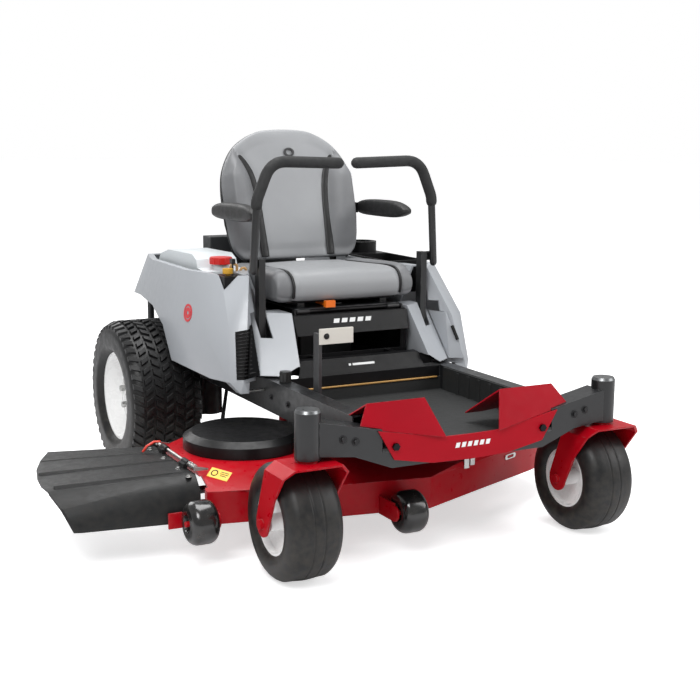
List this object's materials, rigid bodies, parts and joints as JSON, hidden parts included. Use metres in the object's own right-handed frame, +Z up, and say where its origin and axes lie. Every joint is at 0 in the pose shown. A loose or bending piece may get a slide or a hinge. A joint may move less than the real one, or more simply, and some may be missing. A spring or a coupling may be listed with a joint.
{
  "type": "zero turn mower",
  "caption": "Ride-on zero turn mower with tipping seat, twin swing-out control levers, rear drive wheels, front casters and a height-adjustable side-discharge cutting deck.",
  "frame": {"origin": "on the ground under the middle of the machine's bounding box, chute and hitch tab included", "axes": "+Y towards the rear of the machine, +Z up, +X towards the seated operator's left"},
  "size_m": [1.7174, 1.923, 1.2045],
  "materials": {
    "frame_paint": "satin",
    "zinc_hardware": "satin",
    "band_red": "satin",
    "deck_red": "gloss",
    "footrest_red": "gloss",
    "mat_rubber": "matte",
    "panel_black": "satin",
    "pod_grey": "satin",
    "vent_black": "matte",
    "tank_plastic": "translucent satin",
    "battery_case": "matte",
    "engine_metal": "rough cast",
    "engine_plastic": "satin",
    "filter_grey": "matte",
    "muffler_steel": "heat stained",
    "cast_black": "painted black",
    "hose_tan": "matte",
    "belt_rubber": "matte",
    "spindle_cast": "cast",
    "blade_steel": "ground",
    "chute_black": "satin",
    "roller_black": "matte",
    "tyre_black": "matte",
    "rim_white": "gloss",
    "lever_black": "satin",
    "grip_foam": "matte foam",
    "seat_grey": "grained vinyl",
    "armrest_black": "grained vinyl",
    "latch_orange": "satin",
    "pedal_grey": "satin",
    "cap_red": "satin",
    "knob_yellow": "satin",
    "knob_black": "satin"
  },
  "bodies": {
    "chassis": {"frame_rails": "frame_paint", "front_beam": "frame_paint", "frame_fasteners": "zinc_hardware", "front_band": "band_red", "footrests": "footrest_red", "floor_pan": "frame_paint", "rubber_mat": "mat_rubber", "engine_deck": "frame_paint", "seat_pedestal": "panel_black", "post_covers": "pod_grey", "side_vents": "vent_black", "rear_pods": "pod_grey", "fuel_tank": "tank_plastic", "side_trays": "panel_black", "battery": "battery_case", "engine_block": "engine_metal", "blower_housing": "engine_plastic", "air_filter_cover": "filter_grey", "muffler": "muffler_steel", "transaxles": "cast_black", "fuel_hoses": "hose_tan"},
    "deck": {"deck_shell": "deck_red", "belt_covers": "panel_black", "spindle_housings": "spindle_cast", "deck_belt": "belt_rubber", "chute_hinge": "zinc_hardware"},
    "chute": {"discharge_chute": "chute_black"},
    "blade_centre_unit": {"blade_centre": "blade_steel"},
    "blade_left_unit": {"blade_left": "blade_steel"},
    "blade_right_unit": {"blade_right": "blade_steel"},
    "front_roller": {"roller_front": "roller_black"},
    "right_roller": {"roller_right": "roller_black"},
    "caster_swivel_left": {"caster_fork_left": "deck_red"},
    "caster_swivel_right": {"caster_fork_right": "deck_red"},
    "caster_wheel_left": {"caster_tyre_left": "tyre_black", "caster_rim_left": "rim_white"},
    "caster_wheel_right": {"caster_tyre_right": "tyre_black", "caster_rim_right": "rim_white"},
    "drive_wheel_left": {"rear_tyre_left": "tyre_black", "rear_rim_left": "rim_white"},
    "drive_wheel_right": {"rear_tyre_right": "tyre_black", "rear_rim_right": "rim_white"},
    "lever_post_left": {"lever_base_left": "lever_black"},
    "lever_post_right": {"lever_base_right": "lever_black"},
    "lever_left": {"lever_arm_left": "lever_black", "lever_grip_left": "grip_foam"},
    "lever_right": {"lever_arm_right": "lever_black", "lever_grip_right": "grip_foam"},
    "seat_tilt_plate": {"seat_plate": "frame_paint"},
    "seat": {"seat_frame": "panel_black", "seat_cushion": "seat_grey", "seat_backrest": "seat_grey"},
    "arm_left": {"armrest_left": "armrest_black"},
    "arm_right": {"armrest_right": "armrest_black"},
    "latch": {"slide_latch": "latch_orange"},
    "pedal": {"lift_pedal": "pedal_grey"},
    "tank_cap": {"fuel_cap": "cap_red"},
    "blade_switch": {"pto_knob": "knob_yellow"},
    "throttle": {"throttle_lever": "knob_black"},
    "height_dial": {"height_knob": "knob_black"}
  },
  "joints": [
    {"name": "deck_height", "type": "slide", "parent": "chassis", "child": "deck", "axis": [0, 0, 1], "range_m": [-0.06, 0]},
    {"name": "chute_fold", "type": "hinge", "parent": "deck", "child": "chute", "pos_m": [-0.457, -0.3385, 0.252], "axis": [0, 1, 0], "range_deg": [0, 80]},
    {"name": "blade_centre_spin", "type": "hinge", "parent": "deck", "child": "blade_centre_unit", "pos_m": [0.199, -0.4605, 0.2], "axis": [0, 0, 1], "continuous": true},
    {"name": "blade_left_spin", "type": "hinge", "parent": "deck", "child": "blade_left_unit", "pos_m": [0.619, -0.2885, 0.2], "axis": [0, 0, 1], "continuous": true},
    {"name": "blade_right_spin", "type": "hinge", "parent": "deck", "child": "blade_right_unit", "pos_m": [-0.221, -0.2885, 0.2], "axis": [0, 0, 1], "continuous": true},
    {"name": "front_roller_roll", "type": "hinge", "parent": "deck", "child": "front_roller", "pos_m": [0.084, -0.7745, 0.128], "axis": [1, 0, 0], "continuous": true},
    {"name": "right_roller_roll", "type": "hinge", "parent": "deck", "child": "right_roller", "pos_m": [-0.495, -0.6285, 0.137], "axis": [1, 0, 0], "continuous": true},
    {"name": "caster_swivel_left_turn", "type": "hinge", "parent": "chassis", "child": "caster_swivel_left", "pos_m": [0.688, -0.8765, 0.4], "axis": [0, 0, 1], "continuous": true},
    {"name": "caster_wheel_left_roll", "type": "hinge", "parent": "caster_swivel_left", "child": "caster_wheel_left", "pos_m": [0.688, -0.7965, 0.165], "axis": [1, 0, 0], "continuous": true},
    {"name": "drive_wheel_left_roll", "type": "hinge", "parent": "chassis", "child": "drive_wheel_left", "pos_m": [0.679, 0.4615, 0.267], "axis": [1, 0, 0], "continuous": true},
    {"name": "lever_left_push", "type": "hinge", "parent": "chassis", "child": "lever_post_left", "pos_m": [0.496, -0.1435, 0.475], "axis": [1, 0, 0], "range_deg": [-10, 10]},
    {"name": "lever_left_swing_out", "type": "hinge", "parent": "lever_post_left", "child": "lever_left", "pos_m": [0.518, -0.1505, 0.785], "axis": [0, 1, 0], "range_deg": [0, 25]},
    {"name": "caster_swivel_right_turn", "type": "hinge", "parent": "chassis", "child": "caster_swivel_right", "pos_m": [-0.29, -0.8765, 0.4], "axis": [0, 0, 1], "continuous": true},
    {"name": "caster_wheel_right_roll", "type": "hinge", "parent": "caster_swivel_right", "child": "caster_wheel_right", "pos_m": [-0.29, -0.7965, 0.165], "axis": [1, 0, 0], "continuous": true},
    {"name": "drive_wheel_right_roll", "type": "hinge", "parent": "chassis", "child": "drive_wheel_right", "pos_m": [-0.281, 0.4615, 0.267], "axis": [1, 0, 0], "continuous": true},
    {"name": "lever_right_push", "type": "hinge", "parent": "chassis", "child": "lever_post_right", "pos_m": [-0.098, -0.1435, 0.475], "axis": [1, 0, 0], "range_deg": [-10, 10]},
    {"name": "lever_right_swing_out", "type": "hinge", "parent": "lever_post_right", "child": "lever_right", "pos_m": [-0.12, -0.1505, 0.785], "axis": [0, -1, 0], "range_deg": [0, 25]},
    {"name": "seat_tip", "type": "hinge", "parent": "chassis", "child": "seat_tilt_plate", "pos_m": [0.199, -0.1785, 0.628], "axis": [1, 0, 0], "range_deg": [0, 16]},
    {"name": "seat_slide", "type": "slide", "parent": "seat_tilt_plate", "child": "seat", "axis": [0, 1, 0], "range_m": [-0.04, 0.04]},
    {"name": "armrest_left_fold", "type": "hinge", "parent": "seat", "child": "arm_left", "pos_m": [0.479, 0.2565, 0.925], "axis": [-1, 0, 0], "range_deg": [0, 90]},
    {"name": "armrest_right_fold", "type": "hinge", "parent": "seat", "child": "arm_right", "pos_m": [-0.081, 0.2565, 0.925], "axis": [-1, 0, 0], "range_deg": [0, 90]},
    {"name": "slide_latch_turn", "type": "hinge", "parent": "seat", "child": "latch", "pos_m": [0.124, -0.1135, 0.645], "axis": [0, 0, 1], "range_deg": [-15, 15]},
    {"name": "lift_pedal_press", "type": "hinge", "parent": "chassis", "child": "pedal", "pos_m": [-0.067, -0.4885, 0.32], "axis": [1, 0, 0], "range_deg": [-28, 0]},
    {"name": "fuel_cap_turn", "type": "hinge", "parent": "chassis", "child": "tank_cap", "pos_m": [-0.136, 0.0895, 0.77], "axis": [0, 0, 1], "continuous": true},
    {"name": "pto_pull", "type": "slide", "parent": "chassis", "child": "blade_switch", "axis": [0, 0, 1], "range_m": [0, 0.015]},
    {"name": "throttle_move", "type": "hinge", "parent": "chassis", "child": "throttle", "pos_m": [-0.148, -0.0385, 0.706], "axis": [1, 0, 0], "range_deg": [-20, 20]},
    {"name": "height_dial_turn", "type": "hinge", "parent": "chassis", "child": "height_dial", "pos_m": [-0.102, -0.3385, 0.45], "axis": [0, 0, 1], "continuous": true}
  ],
  "couplings": [
    {"joint": "blade_left_spin", "follows": "blade_centre_spin", "ratio": 1},
    {"joint": "blade_right_spin", "follows": "blade_centre_spin", "ratio": 1},
    {"joint": "lift_pedal_press", "follows": "deck_height", "rad_per_m": 8}
  ]
}
